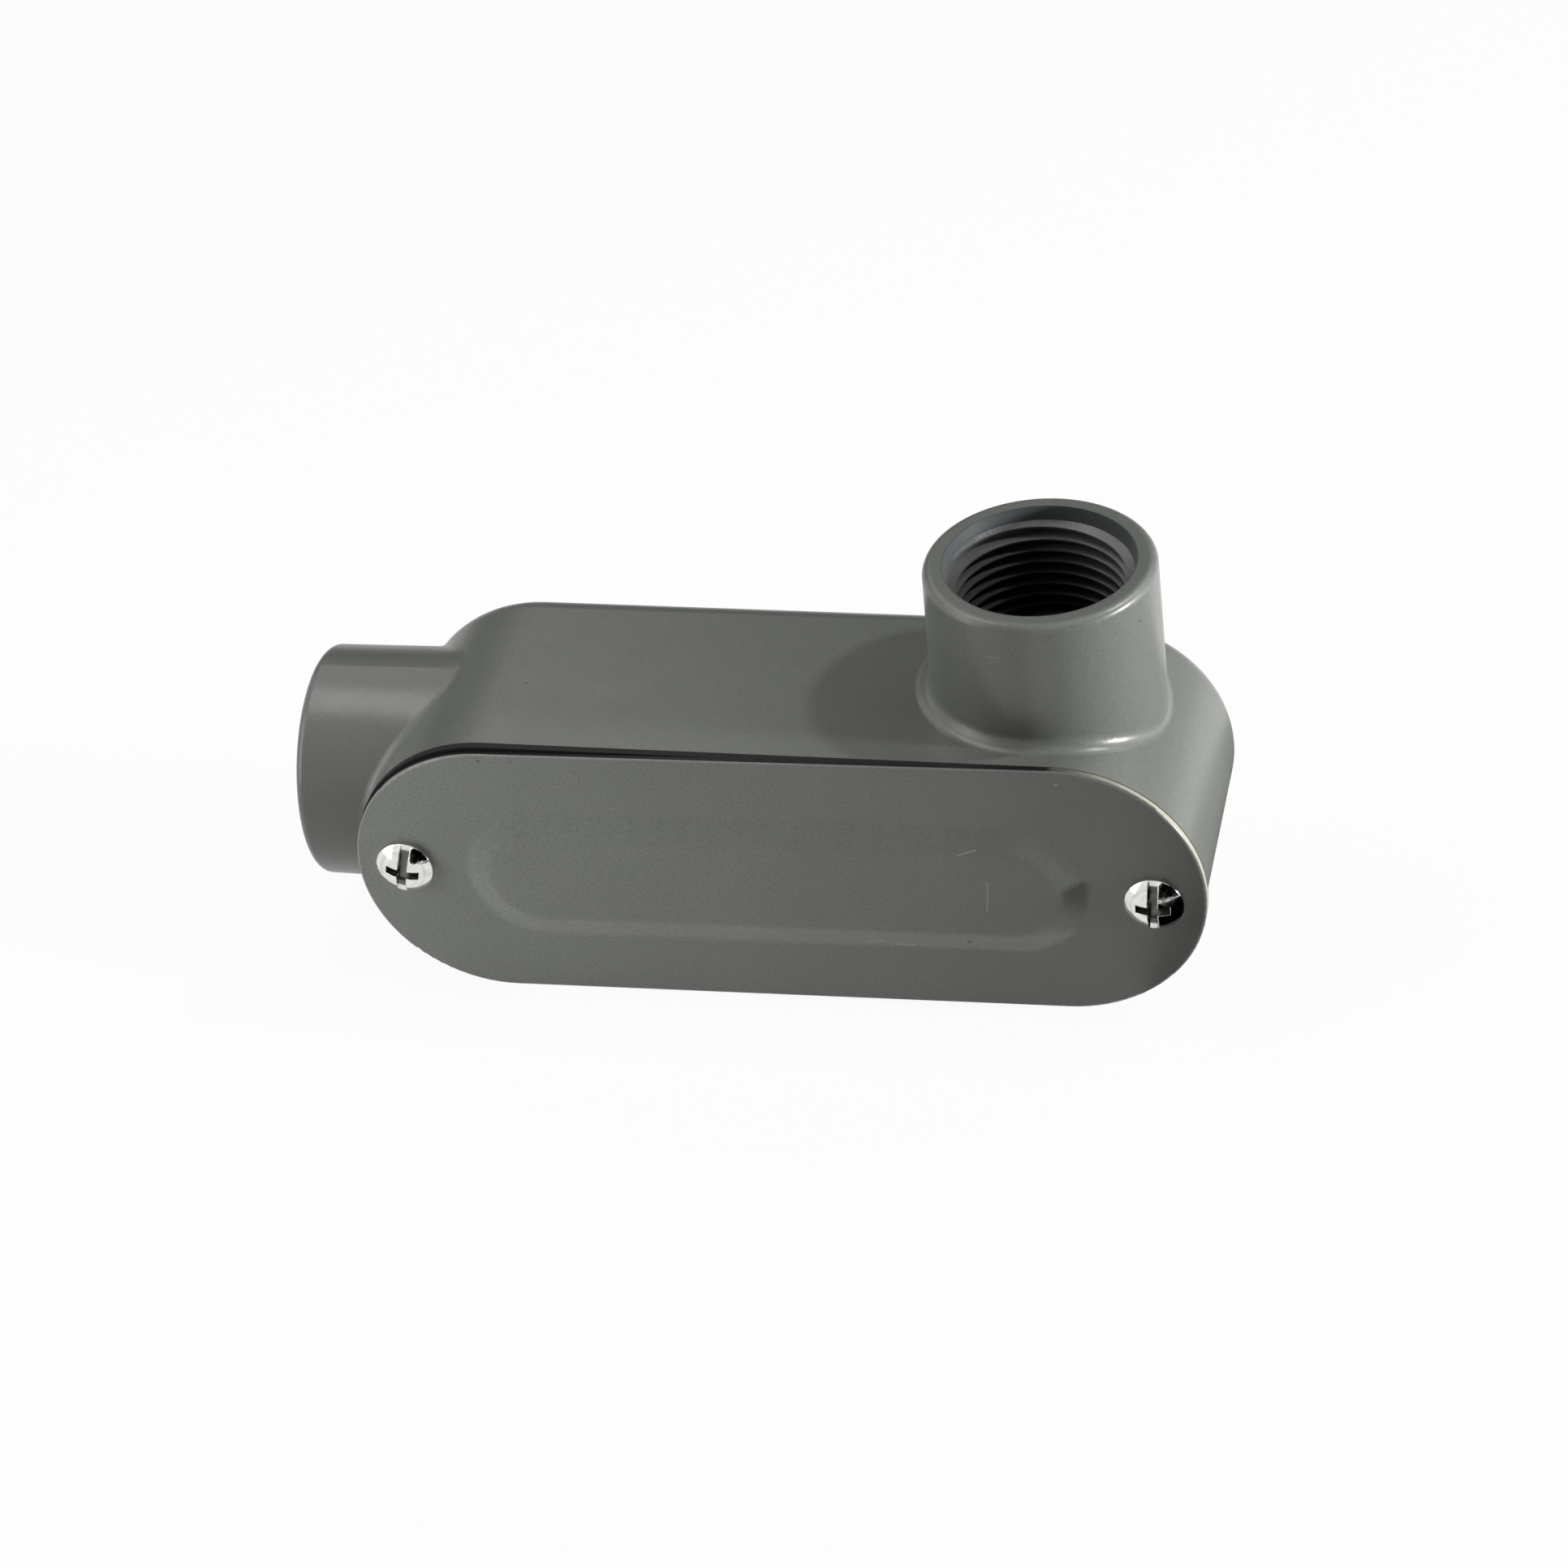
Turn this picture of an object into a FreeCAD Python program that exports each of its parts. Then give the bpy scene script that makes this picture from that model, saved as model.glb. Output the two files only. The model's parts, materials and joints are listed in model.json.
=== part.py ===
"""Threaded conduit body with its gasket, cover and two cover screws (FreeCAD, millimetres).

The part stands on the flat lower side of its casting: +Z runs up through the side hub, +X runs
away from the end hub, and the open front with its cover faces -Y. The origin is the middle of
that flat side. Every driving size is a cell of the sheet "Sizes", and every sketch and feature
is bound to those cells by expressions.
"""
import os
from math import pi

import FreeCAD
import Part
import Sketcher
from FreeCAD import Placement, Rotation, Vector

SIZES = {
    # casting: a long box with round ends, open at the front
    "end_spacing": 80.0,          # between the centres of the two round ends
    "side_wall": 2.8,
    "back_wall": 3.2,
    "cavity_draft": 1.0,          # degrees, lets the core pull out of the front
    "floor_rounding": 2.5,
    "back_rounding": 4.5,
    "front_rounding": 0.4,
    # hubs: one on the left end and one on the upper side, with the same bore
    "hub_mouth_radius": 16.2,     # outside of the side hub at its mouth
    "hub_draft": 0.8,             # degrees, the hub widens towards the casting
    "hub_from_side": 3.62,        # hub root inside the casting's long sides
    "hub_from_front": 4.15,       # hub root behind the casting's front face
    "hub_from_back": 0.8,         # hub root in front of the casting's back face
    "hub_edge_rounding": 1.3,
    "hub_root_rounding": 2.2,
    "side_hub_from_end": 6.97,    # hub root inside the casting's right end
    "side_hub_length": 20.0,
    "end_hub_length": 11.2,
    "end_hub_step": 0.6,          # end hub outside the side hub's radius
    "end_hub_lift": 0.9,          # end hub's axis above the casting's middle
    # bores: countersunk mouth, plain wall at the thread's root, smooth throat
    "mouth_wall": 2.8,            # hub rim, from its outside to the bore
    "lead_in_step": 0.4,          # bore mouth outside the thread's root
    "lead_in_depth": 2.2,
    "thread_length": 14.5,
    "throat_step": 2.6,           # throat inside the thread's root
    "throat_rounding": 1.8,
    "collar_wall": 2.6,           # metal round the end thread inside the cavity
    # cover screws and their bosses
    "screw_from_end": 6.5,        # screw axis from the casting's end
    "screw_radius": 2.08,
    "thread_clearance": 0.1,
    "screw_length": 9.5,
    "screw_head_radius": 4.15,
    "screw_head_height": 2.6,
    "screw_head_rim": 0.8,
    "screw_tip_chamfer": 0.6,
    "screw_hole_depth": 9.0,
    "boss_radius": 4.0,
    "slot_width": 1.4,
    "slot_depth": 1.75,
    "cross_width": 1.3,
    "cross_length": 4.8,
    "cross_depth": 2.1,
    "left_screw_turn": 102.0,     # degrees about the screw's own axis
    "right_screw_turn": 91.0,
    # gasket
    "gasket_margin": 0.35,        # gasket past the casting along the two long sides
    "gasket_overhang": 0.6,       # gasket past the casting at each round end
    "gasket_thickness": 1.1,
    "gasket_side_band": 4.3,
    "gasket_end_band": 5.0,       # from a screw's axis to the opening
    "gasket_hole_radius": 2.6,
    # cover: stamped sheet with a raised middle
    "cover_margin": 0.45,         # cover past the casting along the two long sides
    "cover_overhang": 0.75,       # cover past the casting at each round end
    "cover_thickness": 1.1,
    "cover_turn": 0.95,           # degrees, how far it sits askew on its screws
    "cover_hole_radius": 3.2,
    "cover_edge_rounding": 0.45,
    "panel_spacing": 67.6,
    "panel_radius": 10.8,
    "panel_slope": 3.8,
    "panel_height": 1.3,
    "panel_rounding": 3.0,
}

PIECES = ("body_casting", "cover_gasket", "cover", "cover_screw_left", "cover_screw_right")

# The length of the side hub's cone, which starts inside the casting.
SIDE_CONE = "(Sizes.side_hub_length + Sizes.back_rounding + Sizes.side_wall)"
HUB_SLOPE = "tan(Sizes.hub_draft * 1 deg)"
HUB_ROOT_RADIUS = f"(Sizes.hub_mouth_radius + {HUB_SLOPE} * {SIDE_CONE})"
BORE_MOUTH_RADIUS = "(Sizes.hub_mouth_radius - Sizes.mouth_wall)"
THREAD_RADIUS = f"({BORE_MOUTH_RADIUS} - Sizes.lead_in_step)"
THROAT_RADIUS = f"({THREAD_RADIUS} - Sizes.throat_step)"
# The casting is sized round its hubs.
RADIUS = f"({HUB_ROOT_RADIUS} + Sizes.hub_from_side)"
DEPTH = f"(Sizes.hub_from_front + 2 * {HUB_ROOT_RADIUS} + Sizes.hub_from_back)"
HUB_AXIS_DEPTH = f"({DEPTH} / 2 - Sizes.hub_from_back - {HUB_ROOT_RADIUS})"
FRONT = f"(-{DEPTH} / 2)"
END = f"(Sizes.end_spacing / 2 + {RADIUS})"
CAVITY_RADIUS = f"({RADIUS} - Sizes.side_wall)"
CAVITY_DEPTH = f"({DEPTH} - Sizes.back_wall)"
SIDE_HUB_PLACE = f"({END} - {HUB_ROOT_RADIUS} - Sizes.side_hub_from_end)"
HUB_REACH = {
    "side": f"{RADIUS} + Sizes.side_hub_length",
    "end": f"{END} + Sizes.end_hub_length",
}
HUB_CONE = {
    "side": SIDE_CONE,
    "end": f"(Sizes.end_hub_length + {RADIUS})",
}
HUB_MOUTH = {
    "side": "Sizes.hub_mouth_radius",
    "end": "(Sizes.hub_mouth_radius + Sizes.end_hub_step)",
}
END_HUB_HEIGHT = f"({RADIUS} + Sizes.end_hub_lift)"
SCREW_PLACE = f"({END} - Sizes.screw_from_end)"
COLLAR_FACE = f"({SCREW_PLACE} - Sizes.boss_radius)"
GASKET_RADIUS = f"({RADIUS} + Sizes.gasket_margin)"
GASKET_SPACING = f"(2 * ({END} + Sizes.gasket_overhang - {GASKET_RADIUS}))"
OPENING_RADIUS = f"({GASKET_RADIUS} - Sizes.gasket_side_band)"
OPENING_SPACING = f"(2 * ({SCREW_PLACE} - Sizes.gasket_end_band - {OPENING_RADIUS}))"
COVER_RADIUS = f"({RADIUS} + Sizes.cover_margin)"
COVER_SPACING = f"(2 * ({END} + Sizes.cover_overhang - {COVER_RADIUS}))"
TOUCH = 1e-4


# ---------------------------------------------------------------- document and sketch helpers

def make_sheet(doc):
    """Put every driving size in one sheet, a name and a number to a row."""
    sheet = doc.addObject("Spreadsheet::Sheet", "Sizes")
    for row, (alias, number) in enumerate(SIZES.items(), start=1):
        sheet.set(f"A{row}", alias)
        sheet.set(f"B{row}", str(number))
        sheet.setAlias(f"B{row}", alias)
    doc.recompute()
    return sheet


def value(doc, expression):
    """The number that an expression over the sheet gives now."""
    result = doc.getObject("Sizes").evalExpression(expression)
    return float(getattr(result, "Value", result))


def new_sketch(body, name, plane, shift=("0", "0", "0"), turn=0.0):
    """A sketch on one of the body's own origin planes, moved by three expressions."""
    sketch = body.newObject("Sketcher::SketchObject", name)
    support = next(f for f in body.Origin.OriginFeatures if f.Role == plane)
    sketch.AttachmentSupport = [(support, "")]
    sketch.MapMode = "FlatFace"
    sketch.AttachmentOffset = Placement(Vector(), Rotation(Vector(0, 0, 1), turn))
    for axis, expression in zip("xyz", shift):
        sketch.setExpression(f".AttachmentOffset.Base.{axis}", expression)
    return sketch


def bind(sketch, constraint, name, expression):
    """Add one dimension to a sketch and tie it to the sheet."""
    sketch.renameConstraint(sketch.addConstraint(constraint), name)
    sketch.setExpression(f"Constraints.{name}", expression)


def draw_obround(sketch, spacing, radius):
    """Two half circles joined by two straight sides, centred on the sketch's origin."""
    doc = sketch.Document
    reach = value(doc, spacing) / 2
    size = value(doc, radius)
    quarter = pi / 2
    right = Part.Circle(Vector(reach, 0, 0), Vector(0, 0, 1), size)
    left = Part.Circle(Vector(-reach, 0, 0), Vector(0, 0, 1), size)
    sketch.addGeometry([
        Part.LineSegment(Vector(-reach, size, 0), Vector(reach, size, 0)),
        Part.ArcOfCircle(right, -quarter, quarter),
        Part.LineSegment(Vector(-reach, -size, 0), Vector(reach, -size, 0)),
        Part.ArcOfCircle(left, quarter, 3 * quarter),
    ], False)
    sketch.addConstraint([
        Sketcher.Constraint("Tangent", 0, 2, 1, 2),
        Sketcher.Constraint("Tangent", 0, 1, 3, 1),
        Sketcher.Constraint("Tangent", 2, 2, 1, 1),
        Sketcher.Constraint("Tangent", 2, 1, 3, 2),
        Sketcher.Constraint("Symmetric", 1, 3, 3, 3, -1, 1),
        Sketcher.Constraint("PointOnObject", 1, 3, -1),
    ])
    bind(sketch, Sketcher.Constraint("DistanceX", 3, 3, 1, 3, 2 * reach), "spacing", spacing)
    bind(sketch, Sketcher.Constraint("Radius", 1, size), "radius", radius)


def draw_circles(sketch, centres, radius):
    """Equal circles whose centres lie on the sketch's X axis."""
    doc = sketch.Document
    for number, centre in enumerate(centres):
        place = Vector(value(doc, centre), 0, 0)
        sketch.addGeometry(Part.Circle(place, Vector(0, 0, 1), value(doc, radius)), False)
        sketch.addConstraint(Sketcher.Constraint("PointOnObject", number, 3, -1))
        bind(sketch, Sketcher.Constraint("DistanceX", -1, 1, number, 3, place.x),
             f"centre_{number}", centre)
        bind(sketch, Sketcher.Constraint("Radius", number, value(doc, radius)),
             f"radius_{number}", radius)


def draw_outline(sketch, corners, dome=None):
    """A closed outline through corners given as pairs of expressions.

    The side that starts at corner number `dome` is an arc with its centre on the Y axis.
    """
    doc = sketch.Document
    points = [Vector(value(doc, across), value(doc, along), 0) for across, along in corners]
    for number, start in enumerate(points):
        end = points[(number + 1) % len(points)]
        if number == dome:
            rise = end.y - start.y
            centre = end.y - (start.x ** 2 + rise ** 2) / (2 * rise)
            circle = Part.Circle(Vector(0, centre, 0), Vector(0, 0, 1), abs(end.y - centre))
            first, last = circle.parameter(end), circle.parameter(start)
            sketch.addGeometry(Part.ArcOfCircle(circle, first, last), False)
        else:
            sketch.addGeometry(Part.LineSegment(start, end), False)
    for number in range(len(points)):
        after = (number + 1) % len(points)
        leaves = 1 if number == dome else 2
        arrives = 2 if after == dome else 1
        sketch.addConstraint(Sketcher.Constraint("Coincident", number, leaves, after, arrives))
    for number, (across, along) in enumerate(corners):
        begins = 2 if number == dome else 1
        bind(sketch, Sketcher.Constraint("DistanceX", -1, 1, number, begins, points[number].x),
             f"across_{number}", across)
        bind(sketch, Sketcher.Constraint("DistanceY", -1, 1, number, begins, points[number].y),
             f"along_{number}", along)
    if dome is not None:
        sketch.addConstraint(Sketcher.Constraint("PointOnObject", dome, 3, -2))


def draw_bar(sketch, length, width):
    """A rectangle centred on the sketch's origin, its length along X."""
    half_length = f"({length}) / 2"
    half_width = f"({width}) / 2"
    draw_outline(sketch, [
        (f"-{half_length}", f"-{half_width}"),
        (half_length, f"-{half_width}"),
        (half_length, half_width),
        (f"-{half_length}", half_width),
    ])


# ---------------------------------------------------------------- feature helpers

def extrude(body, kind, name, sketch, length, flipped=False, draft=None):
    """Pad or pocket a sketch by an expression, with a draft angle in degrees if wanted."""
    feature = body.newObject(f"PartDesign::{kind}", name)
    feature.Profile = sketch
    feature.setExpression("Length", length)
    feature.Reversed = flipped
    if draft:
        feature.setExpression("TaperAngle", draft)
    sketch.Visibility = False
    body.Document.recompute()
    return feature


def revolve(body, kind, name, sketch):
    """Turn a sketch about its own Y axis, adding (Revolution) or cutting (Groove)."""
    feature = body.newObject(f"PartDesign::{kind}", name)
    feature.Profile = sketch
    feature.ReferenceAxis = (sketch, ["V_Axis"])
    feature.Angle = 360.0
    sketch.Visibility = False
    body.Document.recompute()
    return feature


def loft(body, kind, name, first, second):
    """A straight loft between two sketches, adding or cutting."""
    feature = body.newObject(f"PartDesign::{kind}Loft", name)
    feature.Profile = first
    feature.Sections = [second]
    feature.Ruled = True
    body.Document.recompute()
    return feature


def round_edges(body, name, radius, wanted):
    """Fillet those edges of the body's tip that a test picks."""
    base = body.Tip
    picked = [f"Edge{number}" for number, edge in enumerate(base.Shape.Edges, start=1)
              if wanted(base.Shape, edge)]
    fillet = body.newObject("PartDesign::Fillet", name)
    fillet.Base = (base, picked)
    fillet.setExpression("Radius", radius)
    body.Document.recompute()
    return fillet


def lies_at(edge, axis, place):
    """Whether a whole edge lies in the plane where that coordinate has that value."""
    low, high = {"x": ("XMin", "XMax"), "y": ("YMin", "YMax"), "z": ("ZMin", "ZMax")}[axis]
    box = edge.BoundBox
    return abs(getattr(box, low) - place) < TOUCH and abs(getattr(box, high) - place) < TOUCH


def faces_of(shape, edge):
    """The two faces that meet in an edge."""
    return shape.ancestorsOfType(edge, Part.Face)


def is_cone_about(face, point, direction):
    """Whether a face is a cone round that axis."""
    surface = face.Surface
    if not isinstance(surface, Part.Cone):
        return False
    if abs(abs(surface.Axis.dot(direction)) - 1) > TOUCH:
        return False
    return surface.Center.distanceToLine(point, direction) < TOUCH


# ---------------------------------------------------------------- the casting

def hub_sketch(body, name, side):
    """A sketch whose Y axis is the axis of the side or the end hub, from the centreline out."""
    depth = f"-{HUB_AXIS_DEPTH}"
    if side == "side":
        return new_sketch(body, name, "XZ_Plane",
                          (SIDE_HUB_PLACE, RADIUS, depth))
    return new_sketch(body, name, "XZ_Plane", ("0", END_HUB_HEIGHT, depth), 90.0)


def add_hub(body, side):
    """One solid hub, drafted from its mouth down to its root inside the casting."""
    reach = HUB_REACH[side]
    length = HUB_CONE[side]
    radius = f"{HUB_MOUTH[side]} + {HUB_SLOPE} * {length}"
    sketch = hub_sketch(body, f"{side}_hub_outline", side)
    draw_outline(sketch, [
        ("0", f"{reach} - {length}"),
        (radius, f"{reach} - {length}"),
        (HUB_MOUTH[side], reach),
        ("0", reach),
    ])
    revolve(body, "Revolution", f"{side}_hub", sketch)


def cut_bore(body, side, inner_end):
    """The bore of one hub: countersunk mouth, thread wall, shoulder and smooth throat."""
    reach = HUB_REACH[side]
    thread_start = f"{reach} - Sizes.lead_in_depth"
    thread_end = f"{thread_start} - Sizes.thread_length"
    sketch = hub_sketch(body, f"{side}_bore_outline", side)
    draw_outline(sketch, [
        ("0", inner_end),
        (THROAT_RADIUS, inner_end),
        (THROAT_RADIUS, f"{thread_end} - Sizes.throat_step / 2"),
        (THREAD_RADIUS, thread_end),
        (THREAD_RADIUS, thread_start),
        (BORE_MOUTH_RADIUS, reach),
        ("0", reach),
    ])
    revolve(body, "Groove", f"{side}_bore", sketch)


def hub_axes(doc):
    """A point on each hub axis and that axis's direction."""
    depth = value(doc, HUB_AXIS_DEPTH)
    height = value(doc, END_HUB_HEIGHT)
    return {
        "side": (Vector(value(doc, SIDE_HUB_PLACE), depth, height), Vector(0, 0, 1)),
        "end": (Vector(0, depth, height), Vector(-1, 0, 0)),
    }


def round_hub_roots(body):
    """The soft root where each hub grows out of the casting."""
    axes = hub_axes(body.Document)

    def meets_casting(shape, edge):
        on_hub = [any(is_cone_about(face, point, direction) for point, direction in axes.values())
                  for face in faces_of(shape, edge)]
        return len(on_hub) == 2 and on_hub[0] != on_hub[1] and not is_mouth(body, edge)

    round_edges(body, "hub_roots", "Sizes.hub_root_rounding", meets_casting)


def round_throats(body):
    """The smooth lips inside the casting, where wires leave the bores."""
    doc = body.Document
    throat = value(doc, THROAT_RADIUS)
    axes = hub_axes(doc)

    def is_lip(shape, edge):
        beside = [face for face in faces_of(shape, edge) if isinstance(face.Surface, Part.Cylinder)]
        round_face = [face for face in beside if abs(face.Surface.Radius - throat) < TOUCH]
        on_cone = [face for face in faces_of(shape, edge) if isinstance(face.Surface, Part.Cone)]
        seam = len(faces_of(shape, edge)) < 2
        return bool(round_face) and not seam and not any(
            is_cone_about(face, point, direction)
            for face in on_cone for point, direction in axes.values())

    round_edges(body, "throat_lips", "Sizes.throat_rounding", is_lip)


def is_outside(doc, edge, radius):
    """Whether every end of an edge lies further from the long axis or its ends than a radius."""
    reach = value(doc, "Sizes.end_spacing / 2")
    middle = value(doc, RADIUS)
    for corner in edge.Vertexes:
        across = max(abs(corner.X) - reach, 0.0)
        if Vector(across, 0, corner.Z - middle).Length < radius + TOUCH:
            return False
    return True


def is_mouth(body, edge):
    """Whether an edge lies in the mouth plane of either hub."""
    doc = body.Document
    side_plane = value(doc, f"{RADIUS} + {HUB_REACH['side']}")
    end_plane = -value(doc, HUB_REACH["end"])
    return lies_at(edge, "z", side_plane) or lies_at(edge, "x", end_plane)


def add_collar(body):
    """The thick inner wall that carries the end hub's thread, up to a shelf below the front."""
    doc = body.Document
    skin = f"({RADIUS} - Sizes.side_wall / 2)"
    flat = f"({COLLAR_FACE} - Sizes.end_spacing / 2)"
    shelf = f"({HUB_AXIS_DEPTH} - {THREAD_RADIUS} - Sizes.collar_wall)"
    sketch = new_sketch(body, "collar_outline", "XZ_Plane",
                        ("-Sizes.end_spacing / 2", RADIUS, f"-{shelf}"))
    size = value(doc, skin)
    across = value(doc, flat)
    rise = (size ** 2 - across ** 2) ** 0.5
    circle = Part.Circle(Vector(), Vector(0, 0, 1), size)
    top, bottom = Vector(-across, rise, 0), Vector(-across, -rise, 0)
    sketch.addGeometry([
        Part.ArcOfCircle(circle, circle.parameter(top), circle.parameter(bottom)),
        Part.LineSegment(bottom, top),
    ], False)
    sketch.addConstraint([
        Sketcher.Constraint("Coincident", 0, 3, -1, 1),
        Sketcher.Constraint("Coincident", 0, 2, 1, 1),
        Sketcher.Constraint("Coincident", 1, 2, 0, 1),
        Sketcher.Constraint("Vertical", 1),
    ])
    bind(sketch, Sketcher.Constraint("Radius", 0, size), "radius", skin)
    bind(sketch, Sketcher.Constraint("DistanceX", 1, 1, -1, 1, across), "flat", flat)
    height = f"{DEPTH} / 2 - Sizes.back_wall / 2 - {shelf}"
    extrude(body, "Pad", "end_collar", sketch, height, flipped=True)


def make_casting(doc):
    """The one-piece casting: box, two hubs, cavity, collar, bosses, bores and tapped holes."""
    body = doc.addObject("PartDesign::Body", "body_casting")
    front = value(doc, FRONT)
    centred = ("0", RADIUS, f"-{FRONT}")

    outline = new_sketch(body, "casting_outline", "XZ_Plane", centred)
    draw_obround(outline, "Sizes.end_spacing", RADIUS)
    extrude(body, "Pad", "casting_block", outline, DEPTH, flipped=True)
    round_edges(body, "back_edge", "Sizes.back_rounding",
                lambda shape, edge: lies_at(edge, "y", -front))
    add_hub(body, "side")
    add_hub(body, "end")
    round_edges(body, "hub_mouths", "Sizes.hub_edge_rounding",
                lambda shape, edge: is_mouth(body, edge))
    round_hub_roots(body)

    hollow = new_sketch(body, "cavity_outline", "XZ_Plane", centred)
    draw_obround(hollow, "Sizes.end_spacing", CAVITY_RADIUS)
    extrude(body, "Pocket", "cavity", hollow, CAVITY_DEPTH, draft="-Sizes.cavity_draft")
    floor = front + value(doc, CAVITY_DEPTH)
    round_edges(body, "floor_edge", "Sizes.floor_rounding",
                lambda shape, edge: lies_at(edge, "y", floor))
    add_collar(body)

    centres = (f"-{SCREW_PLACE}", SCREW_PLACE)
    bosses = new_sketch(body, "boss_outlines", "XZ_Plane", centred)
    draw_circles(bosses, centres, "Sizes.boss_radius")
    extrude(body, "Pad", "screw_bosses", bosses, f"{DEPTH} - Sizes.back_wall / 2",
            flipped=True)

    cut_bore(body, "side", f"{CAVITY_RADIUS} - Sizes.boss_radius")
    cut_bore(body, "end", COLLAR_FACE)

    round_throats(body)

    holes = new_sketch(body, "tapped_hole_outlines", "XZ_Plane", centred)
    draw_circles(holes, centres, "Sizes.screw_radius + Sizes.thread_clearance")
    extrude(body, "Pocket", "tapped_holes", holes, "Sizes.screw_hole_depth")
    outer = value(doc, CAVITY_RADIUS)
    round_edges(body, "front_edge", "Sizes.front_rounding",
                lambda shape, edge: lies_at(edge, "y", front) and is_outside(doc, edge, outer))
    return body


# ---------------------------------------------------------------- gasket, cover and screws

def make_gasket(doc):
    """Flat rubber gasket: the cover's outline, one long opening and two screw holes."""
    body = doc.addObject("PartDesign::Body", "cover_gasket")
    outline = new_sketch(body, "gasket_outline", "XZ_Plane")
    draw_obround(outline, GASKET_SPACING, GASKET_RADIUS)
    extrude(body, "Pad", "gasket_sheet", outline, "Sizes.gasket_thickness")
    opening = new_sketch(body, "gasket_opening_outline", "XZ_Plane",
                         ("0", "0", "Sizes.gasket_thickness"))
    draw_obround(opening, OPENING_SPACING, OPENING_RADIUS)
    extrude(body, "Pocket", "gasket_opening", opening, "Sizes.gasket_thickness")
    holes = new_sketch(body, "gasket_hole_outlines", "XZ_Plane",
                       ("0", "0", "Sizes.gasket_thickness"))
    draw_circles(holes, (f"-{SCREW_PLACE}", SCREW_PLACE), "Sizes.gasket_hole_radius")
    extrude(body, "Pocket", "gasket_holes", holes, "Sizes.gasket_thickness")
    body.setExpression("Placement.Base.y", FRONT)
    body.setExpression("Placement.Base.z", RADIUS)
    return body


def panel_loft(body, kind, name, foot):
    """The raised middle of the cover as one loft, from its foot forward by its height."""
    wide = new_sketch(body, f"{name}_foot", "XZ_Plane", ("0", "0", foot))
    draw_obround(wide, "Sizes.panel_spacing", "Sizes.panel_radius")
    narrow = new_sketch(body, f"{name}_top", "XZ_Plane",
                        ("0", "0", f"{foot} + Sizes.panel_height"))
    draw_obround(narrow, "Sizes.panel_spacing", "Sizes.panel_radius - Sizes.panel_slope")
    loft(body, kind, name, wide, narrow)


def make_cover(doc):
    """Stamped cover: one sheet with a rolled edge, a raised middle and two screw holes."""
    body = doc.addObject("PartDesign::Body", "cover")
    outline = new_sketch(body, "cover_outline", "XZ_Plane")
    draw_obround(outline, COVER_SPACING, COVER_RADIUS)
    extrude(body, "Pad", "cover_sheet", outline, "Sizes.cover_thickness")
    thickness = value(doc, "Sizes.cover_thickness")
    height = value(doc, "Sizes.panel_height")
    round_edges(body, "rolled_edge", "Sizes.cover_edge_rounding",
                lambda shape, edge: lies_at(edge, "y", -thickness))
    between = value(doc, f"({COVER_RADIUS} + Sizes.panel_radius) / 2")

    def bends(foot):
        def wanted(shape, edge):
            across = max(abs(edge.BoundBox.ZMin), abs(edge.BoundBox.ZMax))
            level = lies_at(edge, "y", foot) or lies_at(edge, "y", foot - height)
            return level and across < between
        return wanted

    panel_loft(body, "Additive", "raised_panel", "Sizes.cover_thickness")
    round_edges(body, "front_bends", "Sizes.panel_rounding", bends(-thickness))
    panel_loft(body, "Subtractive", "panel_back", "0")
    round_edges(body, "back_bends", "Sizes.panel_rounding", bends(0.0))
    holes = new_sketch(body, "cover_hole_outlines", "XZ_Plane", ("0", "0", "Sizes.cover_thickness"))
    draw_circles(holes, (f"-{SCREW_PLACE}", SCREW_PLACE), "Sizes.cover_hole_radius")
    extrude(body, "Pocket", "cover_holes", holes, "Sizes.cover_thickness")
    body.Placement = Placement(Vector(), Rotation(Vector(0, 1, 0), 1.0))
    body.setExpression("Placement.Rotation.Angle", "-Sizes.cover_turn")
    body.setExpression("Placement.Base.y", f"{FRONT} - Sizes.gasket_thickness")
    body.setExpression("Placement.Base.z", RADIUS)
    return body


def make_screw(doc, name, place, turn):
    """Round-headed cover screw with a slot across the head and a cross recess."""
    body = doc.addObject("PartDesign::Body", name)
    outline = new_sketch(body, f"{name}_outline", "XY_Plane")
    draw_outline(outline, [
        ("0", "-Sizes.screw_head_height"),
        ("0", "Sizes.screw_length"),
        ("Sizes.screw_radius - Sizes.screw_tip_chamfer", "Sizes.screw_length"),
        ("Sizes.screw_radius", "Sizes.screw_length - Sizes.screw_tip_chamfer"),
        ("Sizes.screw_radius", "0"),
        ("Sizes.screw_head_radius", "0"),
        ("Sizes.screw_head_radius", "-Sizes.screw_head_rim"),
    ], dome=6)
    revolve(body, "Revolution", f"{name}_blank", outline)
    top = ("0", "0", "Sizes.screw_head_height")
    slot = new_sketch(body, f"{name}_slot_outline", "XZ_Plane", top)
    draw_bar(slot, "2 * Sizes.screw_head_radius + 1", "Sizes.slot_width")
    extrude(body, "Pocket", f"{name}_slot", slot, "Sizes.slot_depth")
    for arm, angle in (("long", 0.0), ("short", 90.0)):
        cross = new_sketch(body, f"{name}_{arm}_arm_outline", "XZ_Plane", top, angle)
        draw_bar(cross, "Sizes.cross_length", "Sizes.cross_width")
        extrude(body, "Pocket", f"{name}_{arm}_arm", cross, "Sizes.cross_depth")
    body.Placement = Placement(Vector(), Rotation(Vector(0, 1, 0), 1.0))
    body.setExpression("Placement.Rotation.Angle", turn)
    body.setExpression("Placement.Base.x", place)
    body.setExpression("Placement.Base.y",
                       f"{FRONT} - Sizes.gasket_thickness - Sizes.cover_thickness")
    body.setExpression("Placement.Base.z", RADIUS)
    return body


# ---------------------------------------------------------------- build, check and write

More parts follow.
